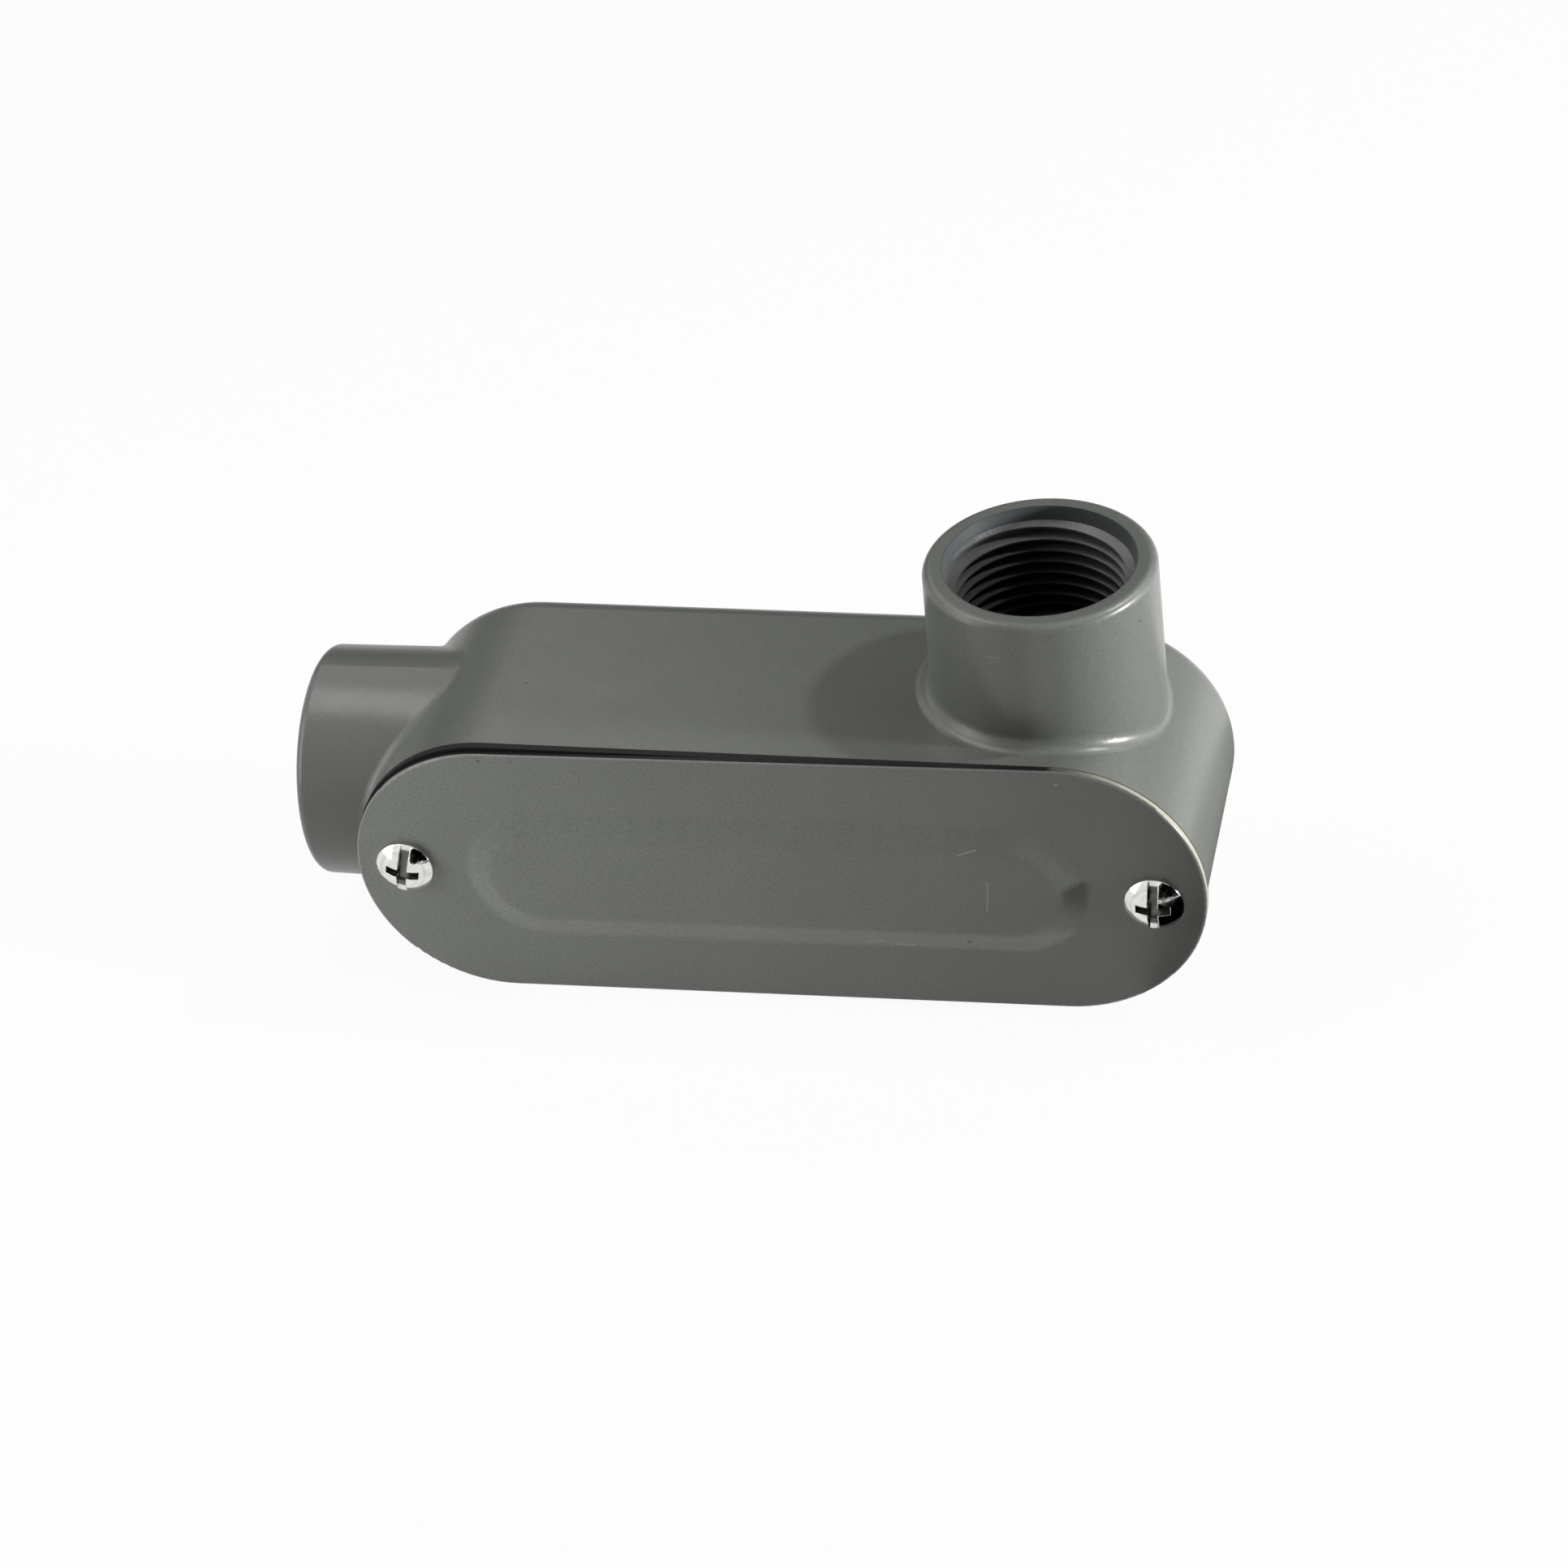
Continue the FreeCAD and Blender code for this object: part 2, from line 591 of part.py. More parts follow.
def check(doc):
    """Stop if any object failed or any piece is not one valid solid."""
    for item in doc.Objects:
        if "Invalid" in item.State or "Error" in item.State:
            raise RuntimeError(f"{item.Label} failed: {item.State}")
    for name in PIECES:
        shape = doc.getObject(name).Shape
        if shape.isNull() or not shape.isValid() or len(shape.Solids) != 1:
            raise RuntimeError(f"{name} is not one valid solid")


def main():
    doc = FreeCAD.newDocument("conduit_body")
    make_sheet(doc)
    make_casting(doc)
    make_gasket(doc)
    make_cover(doc)
    make_screw(doc, "cover_screw_left", f"-{SCREW_PLACE}", "Sizes.left_screw_turn")
    make_screw(doc, "cover_screw_right", SCREW_PLACE, "Sizes.right_screw_turn")
    doc.recompute()
    check(doc)
    os.makedirs("parts", exist_ok=True)
    for name in PIECES:
        doc.getObject(name).Shape.exportStep(f"parts/{name}.step")


main()
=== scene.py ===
"""Looks of the threaded conduit body: paint, rubber, plated screws, threads and studio light.

Lengths written as "mm" are millimetres and are turned into metres by MM. The frame is the packed
one: +Z runs up through the side hub, +X along the length, and the cover faces -Y.
"""
import json
from math import cos, radians, sin, tau

import bpy
from mathutils import Matrix, Vector

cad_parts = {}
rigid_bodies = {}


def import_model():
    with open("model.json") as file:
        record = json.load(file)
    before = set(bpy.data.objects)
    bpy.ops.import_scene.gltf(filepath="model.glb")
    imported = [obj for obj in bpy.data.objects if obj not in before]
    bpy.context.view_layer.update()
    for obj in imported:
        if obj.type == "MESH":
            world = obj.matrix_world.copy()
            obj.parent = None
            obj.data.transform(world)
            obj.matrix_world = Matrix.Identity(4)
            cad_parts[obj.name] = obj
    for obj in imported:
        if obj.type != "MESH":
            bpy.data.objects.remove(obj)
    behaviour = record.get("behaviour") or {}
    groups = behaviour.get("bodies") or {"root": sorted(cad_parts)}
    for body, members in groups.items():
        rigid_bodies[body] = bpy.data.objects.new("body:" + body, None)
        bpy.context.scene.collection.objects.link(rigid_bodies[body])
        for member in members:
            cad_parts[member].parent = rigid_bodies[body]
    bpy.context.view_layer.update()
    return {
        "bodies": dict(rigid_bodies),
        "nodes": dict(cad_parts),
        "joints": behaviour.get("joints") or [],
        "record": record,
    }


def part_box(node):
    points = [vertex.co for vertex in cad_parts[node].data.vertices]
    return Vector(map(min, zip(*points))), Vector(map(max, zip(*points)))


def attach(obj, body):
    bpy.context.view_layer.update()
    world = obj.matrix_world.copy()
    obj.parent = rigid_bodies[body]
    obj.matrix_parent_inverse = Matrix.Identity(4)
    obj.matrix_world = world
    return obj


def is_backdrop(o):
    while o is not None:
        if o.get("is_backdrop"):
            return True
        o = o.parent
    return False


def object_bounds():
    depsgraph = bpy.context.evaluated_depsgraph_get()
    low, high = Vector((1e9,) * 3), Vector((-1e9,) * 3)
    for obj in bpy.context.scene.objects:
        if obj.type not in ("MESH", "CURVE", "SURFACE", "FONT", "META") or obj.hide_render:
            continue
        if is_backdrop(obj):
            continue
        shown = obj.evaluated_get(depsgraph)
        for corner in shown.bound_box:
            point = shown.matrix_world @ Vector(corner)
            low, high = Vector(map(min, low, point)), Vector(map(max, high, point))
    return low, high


MM = 0.001

# ---------------------------------------------------------------- threads, camera and stage

# Lengths here are in mm. The taper is the radius lost for each mm inwards.

THREAD_PITCH = 1.814
THREAD_DEPTH = 1.2
THREAD_CREST = 0.25
THREAD_TAPER = 1 / 32
THREAD_START = -0.75
THREAD_FILL = 0.92
ROOT_SINK = 0.3
STEPS_A_TURN = 96
FADE_STEPS = STEPS_A_TURN / 3

CAMERA_AIM = Vector((-1.97, -2.73, 23.32))
CAMERA_DISTANCE = 633.7
CAMERA_AZIMUTH = 15.8
CAMERA_ELEVATION = 36.47
CAMERA_ROLL = -7.01
SENSOR_WIDTH = 36.0
FOCAL_LENGTH = 101.97
CLIP_START = 10.0

# name: azimuth from the cover's side towards +X and elevation in degrees, distance, width and
# height in mm, and watts
LAMPS = {
    "low_right": (88.0, 8.0, 900.0, 90.0, 90.0, 11.0),
    "key": (107.5, 48.0, 900.0, 60.0, 60.0, 2.4),
    "right_back": (135.0, 35.0, 800.0, 400.0, 300.0, 0.6),
    "front_right": (72.0, 12.0, 800.0, 100.0, 100.0, 0.5),
    "left_mid": (-70.0, 35.0, 800.0, 400.0, 300.0, 1.35),
    "left_back": (-145.0, 42.0, 800.0, 400.0, 300.0, 0.65),
    "near_left": (-62.0, 12.0, 300.0, 120.0, 100.0, 0.15),
    "near_top_left": (-100.0, 65.0, 350.0, 150.0, 150.0, 0.29),
}
LAMP_AIM = Vector((0.0, 0.0, 25.0))
WORLD_STRENGTH = 0.02
FLOOR_REACH = 6000.0
FLOOR_TONE = 0.8
FLOOR_ROUGHNESS = 0.9
FLOOR_GLOW = 0.94
CARD_LIFT = 1.0

# Cards, from (x, y) to (x, y) and how high they stand. One with no height lies on the floor.
CARDS = {
    "far_card": ((160.0, -900.0), (900.0, 60.0), 700.0),
    "back_card": ((-1000.0, 800.0), (1000.0, 800.0), 1500.0),
    "right_card": ((51.0, -200.0), (260.0, 60.0), 0.0),
}

# ---------------------------------------------------------------- looks

# Colours and tones. A tone multiplies a colour.
WHITE = (1.0, 1.0, 1.0, 1.0)
BLACK = (0.0, 0.0, 0.0, 1.0)
PAINT = (0.1465, 0.1545, 0.141, 1.0)
CASTING_TONES = (0.97, 1.03)
# The cover's tones paint light: lighter towards -X and darker towards +X, a painted light falloff.
COVER_PAINTED_FALLOFF_TONES = (1.8, 0.8)
SPECKLE_TONE = 0.6
SPECKLE_SHARE = 0.42
DUST_TONE = 1.6
DUST_SHARE = 0.12
DARK_MARK = (0.035, 0.032, 0.028, 1.0)
LIGHT_MARK = (0.27, 0.27, 0.25, 1.0)
LEAD_GREY = (0.070, 0.075, 0.078, 1.0)
# Painted shade for the side hub's bore.
BORE_PAINTED_SHADE = (0.024, 0.025, 0.024, 1.0)
# Painted reflections on the cover's sheared edge: near black, and a cream painted highlight.
EDGE_PAINTED_DARK_REFLECTION = (0.012, 0.012, 0.012, 1.0)
EDGE_PAINTED_HIGHLIGHT = (0.40, 0.38, 0.32, 1.0)
RUBBER = (0.007, 0.007, 0.008, 1.0)
RUBBER_PATCH_TONE = 1.7
# A painted highlight on the gasket's cut edge.
RUBBER_EDGE_PAINTED_LIGHT = (0.010, 0.011, 0.009, 1.0)
PLATING = (0.80, 0.79, 0.76, 1.0)
PLATING_PATCH_TONE = 0.8
# Painted shade for the screws' driver recesses.
RECESS_PAINTED_SHADE = (0.13, 0.14, 0.12, 1.0)

# Roughness and mirror strength. A pair is the least and the most.
PAINT_ROUGHNESS = (0.28, 0.37)
RUBBER_ROUGHNESS = 0.55
PLATING_ROUGHNESS = (0.05, 0.2)
RECESS_ROUGHNESS = 0.2
PAINT_SPECULAR = 0.5
DULL_SPECULAR = 0.12
RUBBER_SPECULAR = 0.2

# Noise: scale in 1/m and detail. Grains add the two levels that turn into 0 and 1, and wanders
# add how far they stray both ways. Heights are in mm.
SPECKLE = (2400.0, 3.0, 0.3, 0.7)
DUST = (900.0, 1.0, 0.70, 0.76)
SHEEN = (130.0, 3.0, 0.2, 0.8)
RUBBER_PATCHES = (500.0, 3.0, 0.3, 0.7)
PLATING_PATCHES = (900.0, 4.0, 0.35, 0.7)
PLATING_HAZE = (800.0, 4.0, 0.35, 0.75)
TONE_WANDER = (45.0, 2.0, 0.15)
LEAD_WANDER = (260.0, 3.0, 0.9 * MM)
EDGE_WANDER = (300.0, 2.0, 6.0 * MM)
PEEL_COARSE = (700.0, 2.0)
PEEL_FINE = (2600.0, 2.0)
PEEL_FINE_SHARE = 0.35
PEEL_HEIGHT = 0.022
RUBBER_GRAIN = (1500.0, 3.0)
RUBBER_GRAIN_HEIGHT = 0.04
PLATING_DENTS = (420.0, 3.0)
PLATING_DENT_HEIGHT = 0.12
BEVEL_SAMPLES = 6

# Where the looks change, mm. A pair of facings is how squarely a surface faces front or back,
# from 0 to 1, where an edge's look starts and where it is full.
DRIFT_REACH = 55.0
LEAD_DEPTH = 2.2
LEAD_STEP = 0.4
LEAD_BLUR = 0.2
BORE_MARGIN = (0.2, 0.05)
SHADE_DEPTH = 10.0
# The X span along the cover's edge where its painted dark reflection turns into the cream painted
# highlight.
EDGE_HIGHLIGHT_FROM = 38.0
EDGE_HIGHLIGHT_TO = 54.0
COVER_EDGE_FACINGS = (0.45, 0.25)
RUBBER_EDGE_FACINGS = (0.6, 0.3)
SCREW_EDGE = 0.18
RECESS_REACH = 3.4
RECESS_BLUR = 0.3
RECESS_DEPTHS = (0.75, 1.3)

# Marks, each from (x, z) to (x, z) with half its width. Those of the cover count from its centre.
# The core is the share of the width that has the mark's full colour.
MARK_CORE = 0.4
COVER_DARK_MARKS = (
    (-40.4, 19.0, -40.2, 19.0, 0.16),
    (-35.6, 19.1, -35.5, 19.1, 0.14),
    (-26.7, 17.7, -26.6, 17.7, 0.12),
    (27.3, -8.4, 27.5, -8.5, 0.35),
)
COVER_LIGHT_MARKS = (
    (41.0, 19.2, 41.3, 19.2, 0.20),
    (26.9, 7.3, 29.5, 8.2, 0.16),
    (30.8, 2.8, 30.4, -2.3, 0.10),
    (13.0, -9.4, 15.2, -9.2, 0.14),
    (16.8, -9.9, 19.4, -9.8, 0.16),
)
# Those of the casting lie at points of the frame.
CASTING_DARK_MARKS = (
    ((-37.6, -4.2, 40.4), (-37.4, -4.2, 40.4), 0.20),
    ((51.2, -5.5, 55.9), (51.4, -5.5, 55.8), 0.22),
)
CASTING_LIGHT_MARKS = (
    ((30.6, -13.6, 54.9), (34.0, -14.5, 55.2), 0.12),
)


# ---------------------------------------------------------------- node helpers

class Shader:
    """The nodes of a new material, or of a given world, and short ways to add and join them."""

    def __init__(self, name, owner=None):
        self.material = owner or bpy.data.materials.new(name)
        self.material.use_nodes = True
        self.tree = self.material.node_tree
        self.shader = self.tree.nodes.get("Principled BSDF")

    def add(self, kind, **settings):
        node = self.tree.nodes.new(kind)
        for name, number in settings.items():
            setattr(node, name, number)
        return node

    def join(self, source, target):
        self.tree.links.new(source, target)

    def place(self):
        """The point in the part's own frame, in metres."""
        return self.add("ShaderNodeTexCoord").outputs["Object"]

    def noise(self, scale, detail):
        node = self.add("ShaderNodeTexNoise")
        node.inputs["Scale"].default_value = scale
        node.inputs["Detail"].default_value = detail
        self.join(self.place(), node.inputs["Vector"])
        return node.outputs["Fac"]

    def ramp(self, source, low, high):
        """Turn a number from low..high into 0..1."""
        node = self.add("ShaderNodeMapRange", clamp=True)
        node.inputs["From Min"].default_value = low
        node.inputs["From Max"].default_value = high
        self.join(source, node.inputs["Value"])
        return node.outputs["Result"]

    def span(self, source, low, high):
        """Turn a number from 0..1 into low..high."""
        node = self.add("ShaderNodeMapRange", clamp=True)
        node.inputs["To Min"].default_value = low
        node.inputs["To Max"].default_value = high
        self.join(source, node.inputs["Value"])
        return node.outputs["Result"]

    def grain(self, scale, detail, low, high):
        """Noise whose levels from low to high are stretched to 0..1."""
        return self.ramp(self.noise(scale, detail), low, high)

    def wander(self, scale, detail, reach):
        """Noise that strays between -reach and reach."""
        return self.span(self.noise(scale, detail), -reach, reach)

    def facing(self):
        """How squarely the surface faces to the front or the back, from 0 to 1."""
        normal = self.add("ShaderNodeNewGeometry").outputs["Normal"]
        return self.number("ABSOLUTE", self.axis(normal, "Y"))

    def feed(self, target, source):
        """Set an input from another node's socket or from a plain value."""
        if isinstance(source, bpy.types.NodeSocket):
            self.join(source, target)
        else:
            target.default_value = source

    def number(self, operation, *sources):
        node = self.add("ShaderNodeMath", operation=operation)
        for target, source in zip(node.inputs, sources):
            self.feed(target, source)
        return node.outputs["Value"]

    def vector(self, operation, *sources):
        node = self.add("ShaderNodeVectorMath", operation=operation)
        for target, source in zip(node.inputs, sources):
            self.feed(target, source)
        single = operation in ("LENGTH", "DOT_PRODUCT")
        return node.outputs["Value" if single else "Vector"]

    def axis(self, source, name):
        node = self.add("ShaderNodeSeparateXYZ")
        self.join(source, node.inputs["Vector"])
        return node.outputs[name]

    def mix(self, factor, first, second):
        """Mix two colours, each a colour or a socket."""
        node = self.add("ShaderNodeMix", data_type="RGBA")
        self.join(factor, node.inputs["Factor"])
        for socket, colour in (("A", first), ("B", second)):
            self.feed(next(s for s in node.inputs if s.name == socket and s.type == "RGBA"), colour)
        return next(s for s in node.outputs if s.type == "RGBA")

    def bump(self, height, distance):
        """Raise the surface's look by up to a distance in mm."""
        node = self.add("ShaderNodeBump")
        node.inputs["Distance"].default_value = distance * MM
        self.join(height, node.inputs["Height"])
        self.join(node.outputs["Normal"], self.shader.inputs["Normal"])
        return node


def shade(colour, factor):
    return tuple(channel * factor for channel in colour[:3]) + (1.0,)


# ---------------------------------------------------------------- materials

def marks_mask(look, marks, sides):
    """Short strokes, each (start, end, half width) in mm, as one 0..1 mask.

    The factors in `sides` say which coordinates count: a 0 lets a mark run through that way.
    """
    total = None
    for start, end, half_width in marks:
        run = (Vector(end) - Vector(start)) * MM
        point = look.vector("MULTIPLY", look.place(), sides)
        offset = look.vector("SUBTRACT", point, Vector(start) * MM)
        share = look.vector("DOT_PRODUCT", offset, run / run.length_squared)
        scaled = look.add("ShaderNodeVectorMath", operation="SCALE")
        scaled.inputs[0].default_value = run
        look.join(look.ramp(share, 0.0, 1.0), scaled.inputs["Scale"])
        away = look.vector("LENGTH", look.vector("SUBTRACT", offset, scaled.outputs["Vector"]))
        inside = look.ramp(away, half_width * MM, half_width * MM * MARK_CORE)
        total = inside if total is None else look.number("MAXIMUM", total, inside)
    return total


def paint(look, tones, dark_marks, light_marks, sides):
    """Satin grey paint: orange peel, a fine speckle, a slow change of tone along X and a few marks.
    On the cover that change is a painted light falloff, lighter towards -X.
    """
    along = look.ramp(look.axis(look.place(), "X"), -DRIFT_REACH * MM, DRIFT_REACH * MM)
    tone_drift_and_painted_falloff = look.number("ADD", along, look.wander(*TONE_WANDER))
    # Tone changes along X; on the cover this is a painted light falloff.
    colour = look.mix(look.ramp(tone_drift_and_painted_falloff, 0.0, 1.0), *(shade(PAINT, tone) for tone in tones))
    speckle = look.span(look.grain(*SPECKLE), SPECKLE_SHARE, 0.0)
    colour = look.mix(speckle, colour, shade(PAINT, SPECKLE_TONE))
    dust = look.number("MULTIPLY", look.grain(*DUST), DUST_SHARE)
    colour = look.mix(dust, colour, shade(PAINT, DUST_TONE))
    for marks, tone in ((dark_marks, DARK_MARK), (light_marks, LIGHT_MARK)):
        colour = look.mix(marks_mask(look, marks, sides), colour, tone)
    look.join(look.span(look.grain(*SHEEN), *PAINT_ROUGHNESS), look.shader.inputs["Roughness"])
    fine = look.number("MULTIPLY", look.noise(*PEEL_FINE), PEEL_FINE_SHARE)
    look.bump(look.number("ADD", look.noise(*PEEL_COARSE), fine), PEEL_HEIGHT)
    return colour


def casting_material(side_mouth, side_axis, mouth_radius):
    """Casting paint, darker and bluer on the turned mouth of the side hub's bore, with painted
    shade further down the bore.
    """
    look = Shader("casting_paint")
    colour = paint(look, CASTING_TONES, CASTING_DARK_MARKS, CASTING_LIGHT_MARKS, (1.0, 1.0, 1.0))
    offset = look.vector("SUBTRACT", look.place(), side_axis * MM)
    across = look.vector("LENGTH", look.vector("MULTIPLY", offset, (1.0, 1.0, 0.0)))
    height = look.axis(look.place(), "Z")
    lead_end = side_mouth - LEAD_DEPTH
    ragged = look.number("ADD", height, look.wander(*LEAD_WANDER))
    turned = look.ramp(ragged, (lead_end - LEAD_BLUR) * MM, lead_end * MM)
    inside = look.ramp(across, *((mouth_radius + margin) * MM for margin in BORE_MARGIN))
    band = look.number("MULTIPLY", turned, inside)
    # Painted shade: the side hub's bore, its thread too, is painted darker further down from the
    # mouth.
    shade_with_depth = look.ramp(height, side_mouth * MM, (side_mouth - SHADE_DEPTH) * MM)
    bore = look.number("MULTIPLY", shade_with_depth, inside)
    colour = look.mix(bore, colour, BORE_PAINTED_SHADE)
    look.join(look.mix(band, colour, LEAD_GREY), look.shader.inputs["Base Color"])
    return look.material


def cover_material(centre):
    """Cover paint with its specks and scratches and a painted light falloff along X, and a sheared
    edge with painted reflections: near black, turning to a cream painted highlight towards +X.
    """
    look = Shader("cover_paint")
    dark, light = ([((centre.x + x1, 0.0, centre.z + z1), (centre.x + x2, 0.0, centre.z + z2),
                     half_width) for x1, z1, x2, z2, half_width in marks]
                   for marks in (COVER_DARK_MARKS, COVER_LIGHT_MARKS))
    colour = paint(look, COVER_PAINTED_FALLOFF_TONES, dark, light, (1.0, 0.0, 1.0))
    edge = look.ramp(look.facing(), *COVER_EDGE_FACINGS)
    # Painted reflections on the edge: near black towards -X, a cream painted highlight towards +X.
    along = look.number("ADD", look.axis(look.place(), "X"), look.wander(*EDGE_WANDER))
    highlit = look.ramp(along, EDGE_HIGHLIGHT_FROM * MM, EDGE_HIGHLIGHT_TO * MM)
    edge_painted_reflection = look.mix(highlit, EDGE_PAINTED_DARK_REFLECTION, EDGE_PAINTED_HIGHLIGHT)
    look.join(look.mix(edge, colour, edge_painted_reflection), look.shader.inputs["Base Color"])
    dull = look.number("MULTIPLY", edge, look.span(highlit, 1.0, 0.0))
    look.join(look.span(dull, PAINT_SPECULAR, DULL_SPECULAR),
              look.shader.inputs["Specular IOR Level"])
    return look.material


def rubber_material():
    """Matt black rubber, its cut edge painted a little lighter and olive as a painted highlight."""
    look = Shader("black_rubber")
    tone = look.mix(look.grain(*RUBBER_PATCHES), RUBBER, shade(RUBBER, RUBBER_PATCH_TONE))
    # Painted highlight: the cut edge is painted a little lighter and olive.
    edge = look.ramp(look.facing(), *RUBBER_EDGE_FACINGS)
    look.join(look.mix(edge, tone, RUBBER_EDGE_PAINTED_LIGHT), look.shader.inputs["Base Color"])
    look.bump(look.noise(*RUBBER_GRAIN), RUBBER_GRAIN_HEIGHT)
    look.shader.inputs["Roughness"].default_value = RUBBER_ROUGHNESS
    look.shader.inputs["Specular IOR Level"].default_value = RUBBER_SPECULAR
    return look.material


def plating_material(name, front):
    """Bright plating with soft edges, and painted shade down in the driver recess behind the head's
    front.
    """
    look = Shader(name)
    tone = look.mix(look.grain(*PLATING_PATCHES), PLATING, shade(PLATING, PLATING_PATCH_TONE))
    offset = look.vector("SUBTRACT", look.place(), front * MM)
    away = look.vector("LENGTH", look.vector("MULTIPLY", offset, (1.0, 0.0, 1.0)))
    inner = look.ramp(away, RECESS_REACH * MM, (RECESS_REACH - RECESS_BLUR) * MM)
    sunk = look.ramp(look.axis(look.place(), "Y"),
                     *((front.y + depth) * MM for depth in RECESS_DEPTHS))
    recess = look.number("MULTIPLY", inner, sunk)
    # Painted shade: the driver recess is painted dark grey.
    look.join(look.mix(recess, tone, RECESS_PAINTED_SHADE), look.shader.inputs["Base Color"])
    rough = look.number("ADD", look.span(look.grain(*PLATING_HAZE), *PLATING_ROUGHNESS),
                        look.span(recess, 0.0, RECESS_ROUGHNESS))
    look.join(rough, look.shader.inputs["Roughness"])
    look.shader.inputs["Metallic"].default_value = 1.0
    soft = look.add("ShaderNodeBevel", samples=BEVEL_SAMPLES)
    soft.inputs["Radius"].default_value = SCREW_EDGE * MM
    bump = look.bump(look.noise(*PLATING_DENTS), PLATING_DENT_HEIGHT)
    look.join(soft.outputs["Normal"], bump.inputs["Normal"])
    return look.material


def dress(piece, material):
    piece.data.materials.clear()
    piece.data.materials.append(material)


# ---------------------------------------------------------------- threads

def thread_piece(name, mount, material):
    """A tapered right-hand ridge along the wall of one bore, from its mouth inwards."""
    outward = Vector(mount["axis"])
    radius = mount["dims"]["r_mm"]
    length = mount["dims"]["length_mm"] - THREAD_START
    turn = outward.to_track_quat("Z", "X").to_matrix().to_4x4()
    start = Vector(mount["pos_m"]) / MM + outward * (mount["dims"]["length_mm"] / 2 - THREAD_START)
    frame = Matrix.Translation(start) @ turn
    base = THREAD_PITCH / 2 * THREAD_FILL
    profile = ((ROOT_SINK, base), (-THREAD_DEPTH, THREAD_CREST / 2),
               (-THREAD_DEPTH, -THREAD_CREST / 2), (ROOT_SINK, -base))
    travel = length - 2 * base
    steps = int(travel / THREAD_PITCH * STEPS_A_TURN)
    points = []
    for step in range(steps + 1):
        angle = tau * step / STEPS_A_TURN
        along = -base - THREAD_PITCH * step / STEPS_A_TURN
        fade = min(1.0, step / FADE_STEPS, (steps - step) / FADE_STEPS)
        for height, shift in profile:
            rise = height * fade if height < 0 else height
            reach = radius + rise + THREAD_TAPER * along
            if height > 0:
                reach = radius + height
            local = Vector((reach * cos(angle), -reach * sin(angle), along + shift))
            points.append(frame @ local * MM)
    faces = []
    for step in range(steps):
        for side in range(4):
            first, second = 4 * step + side, 4 * step + (side + 1) % 4
            faces.append((first, second, second + 4, first + 4))
    faces.append((3, 2, 1, 0))
    faces.append(tuple(range(4 * steps, 4 * steps + 4)))
    mesh = bpy.data.meshes.new(name)
    mesh.from_pydata(points, [], faces)
    mesh.validate()
    piece = bpy.data.objects.new(name, mesh)
    bpy.context.scene.collection.objects.link(piece)
    dress(piece, material)
    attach(piece, "root")
    return piece


# ---------------------------------------------------------------- stage, light and camera

def direction(azimuth, elevation):
    """A unit vector: azimuth 0 is in front of the cover and 90 is towards +X."""
    level = cos(radians(elevation))
    return Vector((level * sin(radians(azimuth)), -level * cos(radians(azimuth)),
                   sin(radians(elevation))))


def aim(item, target):
    item.rotation_euler = (target - item.location).to_track_quat("-Z", "Y").to_euler()


def add_lamps():
    for name, (azimuth, elevation, distance, width, height, watts) in LAMPS.items():
        lamp = bpy.data.lights.new(name, "AREA")
        lamp.shape = "RECTANGLE"
        lamp.size = width * MM
        lamp.size_y = height * MM
        lamp.energy = watts
        item = bpy.data.objects.new(name, lamp)
        item.location = (LAMP_AIM + direction(azimuth, elevation) * distance) * MM
        aim(item, LAMP_AIM * MM)
        bpy.context.scene.collection.objects.link(item)


def seen_directly(look):
    """1 for rays from the camera and for reflections in the part, which show the backdrop white."""
    path = look.add("ShaderNodeLightPath")
    direct = look.number("MAXIMUM", path.outputs["Is Camera Ray"], path.outputs["Is Glossy Ray"])
    return look.number("MAXIMUM", direct, path.outputs["Is Transmission Ray"])


def add_world():
    world = bpy.data.worlds.new("studio")
    look = Shader("studio", world)
    background = look.tree.nodes["Background"]
    background.inputs["Color"].default_value = WHITE
    look.join(look.span(seen_directly(look), WORLD_STRENGTH, 1.0), background.inputs["Strength"])
    bpy.context.scene.world = world


def flat_piece(name, corners, material):
    """A single rectangle of the stage from its corners in metres."""
    mesh = bpy.data.meshes.new(name)
    mesh.from_pydata(corners, [], [tuple(range(len(corners)))])
    piece = bpy.data.objects.new(name, mesh)
    bpy.context.scene.collection.objects.link(piece)
    dress(piece, material)
    piece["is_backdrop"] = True
    return piece


def add_floor(level):
    """A wide white floor that looks white to the camera but keeps a soft shadow."""
    look = Shader("white_floor")
    look.shader.inputs["Base Color"].default_value = shade(WHITE, FLOOR_TONE)
    look.shader.inputs["Roughness"].default_value = FLOOR_ROUGHNESS
    glow = look.add("ShaderNodeEmission")
    mixed = look.add("ShaderNodeMixShader")
    look.join(look.span(seen_directly(look), 0.0, FLOOR_GLOW), mixed.inputs["Fac"])
    look.join(look.shader.outputs["BSDF"], mixed.inputs[1])
    look.join(glow.outputs["Emission"], mixed.inputs[2])
    look.join(mixed.outputs["Shader"], look.tree.nodes["Material Output"].inputs["Surface"])
    reach = FLOOR_REACH * MM
    corners = [(x * reach, y * reach, level) for x, y in ((-1, -1), (1, -1), (1, 1), (-1, 1))]
    flat_piece("floor", corners, look.material)


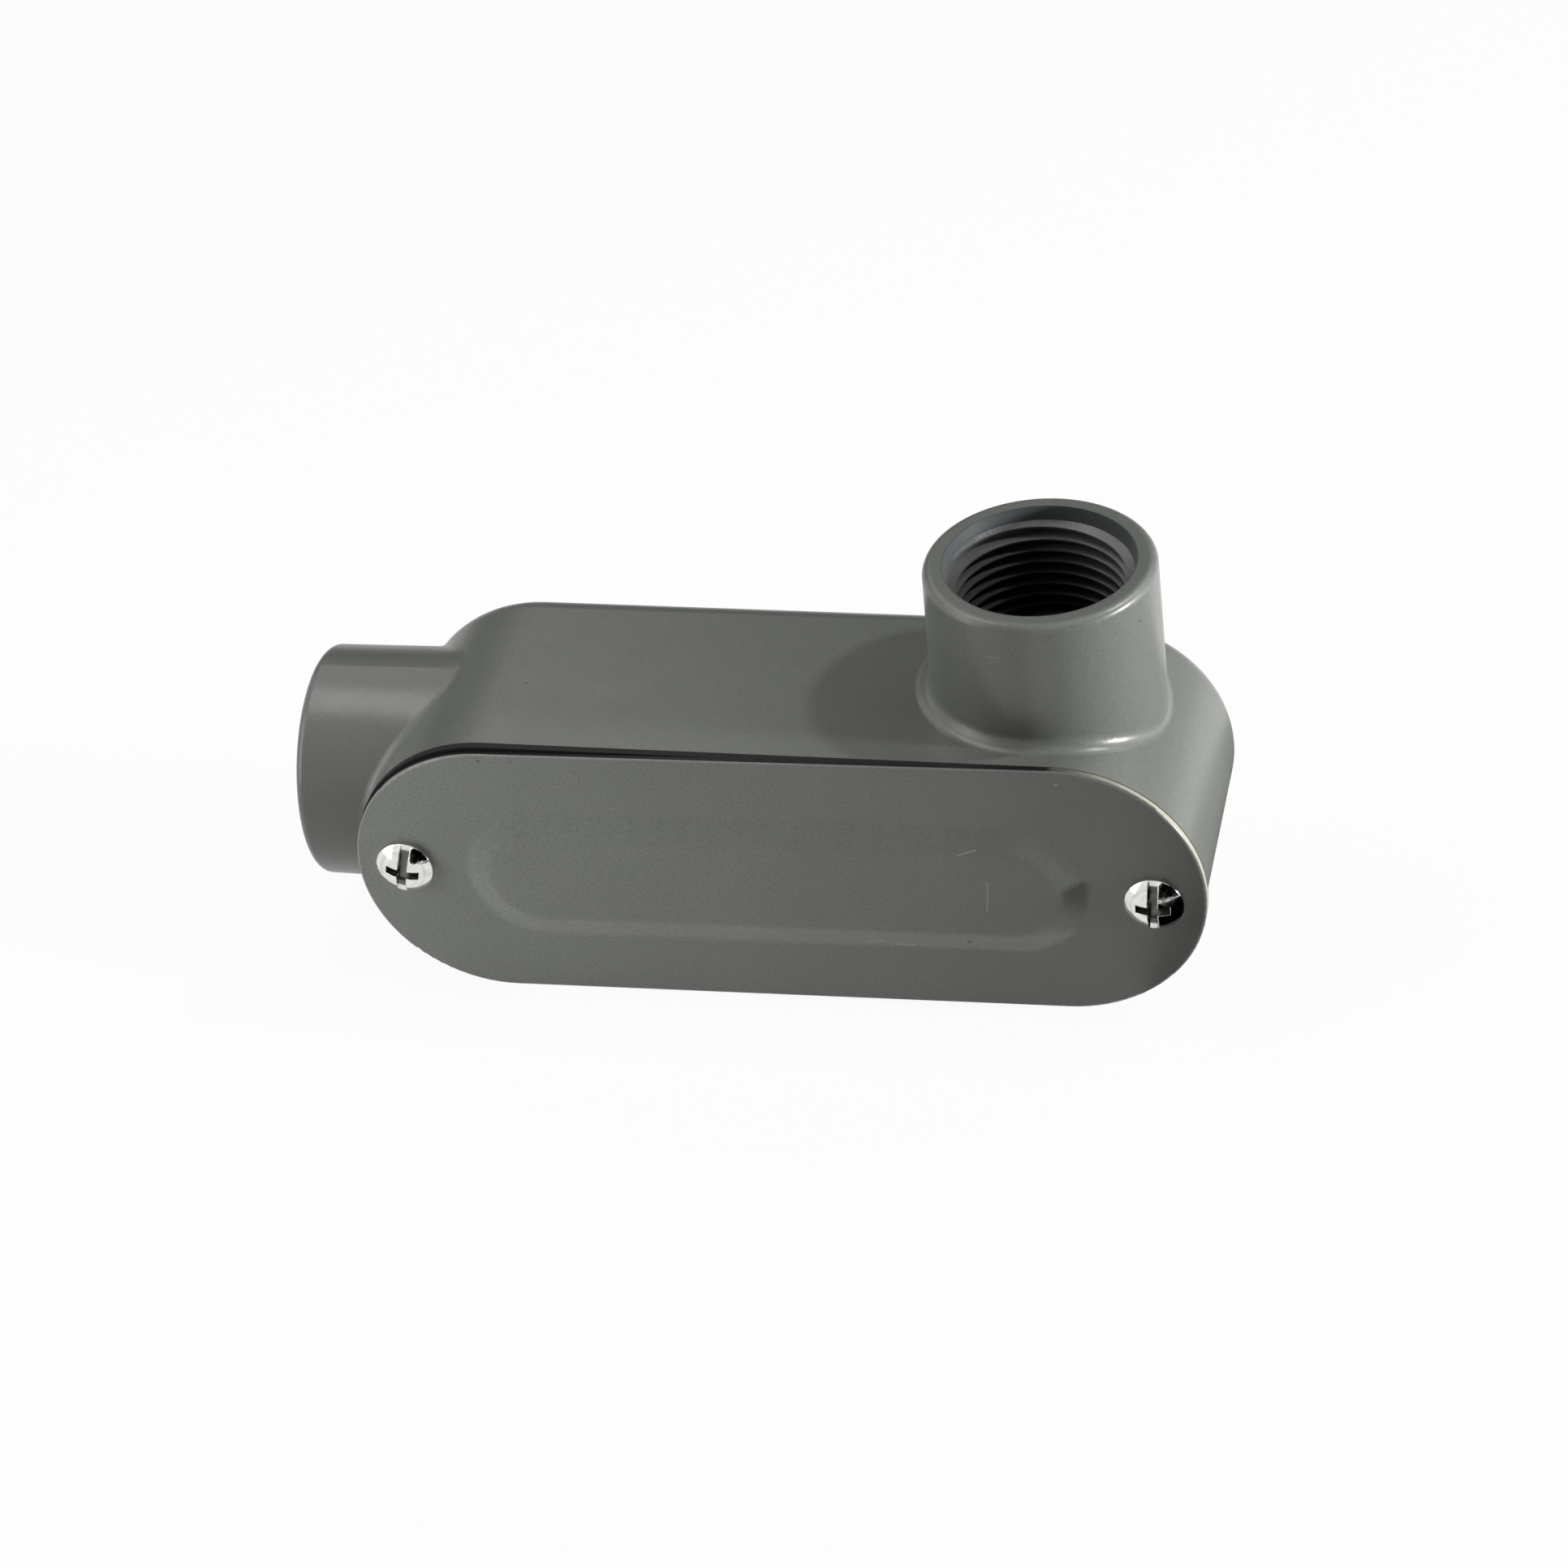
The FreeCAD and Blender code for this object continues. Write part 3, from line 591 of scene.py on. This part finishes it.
def add_cards(level):
    """Black cards that only reflections see, for the screws and the upward edges to mirror."""
    look = Shader("black_card")
    look.shader.inputs["Base Color"].default_value = BLACK
    look.shader.inputs["Specular IOR Level"].default_value = 0.0
    for name, (start, end, height) in CARDS.items():
        low, high = Vector((*start, 0.0)) * MM, Vector((*end, 0.0)) * MM
        base = Vector((0.0, 0.0, level + CARD_LIFT * MM))
        if height:
            rise = Vector((0.0, 0.0, height * MM))
            corners = [low + base, high + base, high + base + rise, low + base + rise]
        else:
            corners = [Vector((x, y, 0.0)) + base for x, y in
                       ((low.x, low.y), (high.x, low.y), (high.x, high.y), (low.x, high.y))]
        card = flat_piece(name, corners, look.material)
        card.visible_camera = False
        card.visible_diffuse = False
        card.visible_transmission = False
        card.visible_shadow = False


def add_camera():
    data = bpy.data.cameras.new("camera")
    data.sensor_width = SENSOR_WIDTH
    data.lens = FOCAL_LENGTH
    data.clip_start = CLIP_START * MM
    item = bpy.data.objects.new("camera", data)
    place = CAMERA_AIM + direction(CAMERA_AZIMUTH, CAMERA_ELEVATION) * CAMERA_DISTANCE
    item.location = place * MM
    view = (CAMERA_AIM - place).to_track_quat("-Z", "Y").to_matrix()
    roll = Matrix.Rotation(radians(CAMERA_ROLL), 3, "Z")
    item.rotation_euler = (view @ roll).to_euler()
    bpy.context.scene.collection.objects.link(item)
    bpy.context.scene.camera = item


# ---------------------------------------------------------------- the part

def main():
    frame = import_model()
    record = frame["record"]
    nodes = frame["nodes"]
    mounts = {mount["name"]: mount for mount in record["mounts"]}

    side = mounts["side_hub_thread"]
    bore = side["dims"]["r_mm"]
    side_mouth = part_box("body_casting")[1][2] / MM
    side_axis = Vector((side["pos_m"][0] / MM, side["pos_m"][1] / MM, 0.0))
    low, high = (Vector(corner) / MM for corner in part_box("cover"))
    cover_centre = (low + high) / 2

    casting = casting_material(side_mouth, side_axis, bore + LEAD_STEP)
    dress(nodes["body_casting"], casting)
    dress(nodes["cover"], cover_material(cover_centre))
    dress(nodes["cover_gasket"], rubber_material())
    for name in ("cover_screw_left", "cover_screw_right"):
        low, high = (Vector(corner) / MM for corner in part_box(name))
        front = Vector(((low.x + high.x) / 2, low.y, (low.z + high.z) / 2))
        dress(nodes[name], plating_material(name + "_plating", front))
    thread_piece("side_hub_thread", side, casting)
    thread_piece("end_hub_thread", mounts["end_hub_thread"], casting)

    add_floor(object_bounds()[0][2])
    add_cards(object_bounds()[0][2])
    add_lamps()
    add_world()
    add_camera()
    bpy.context.scene.view_settings.view_transform = "Standard"


main()
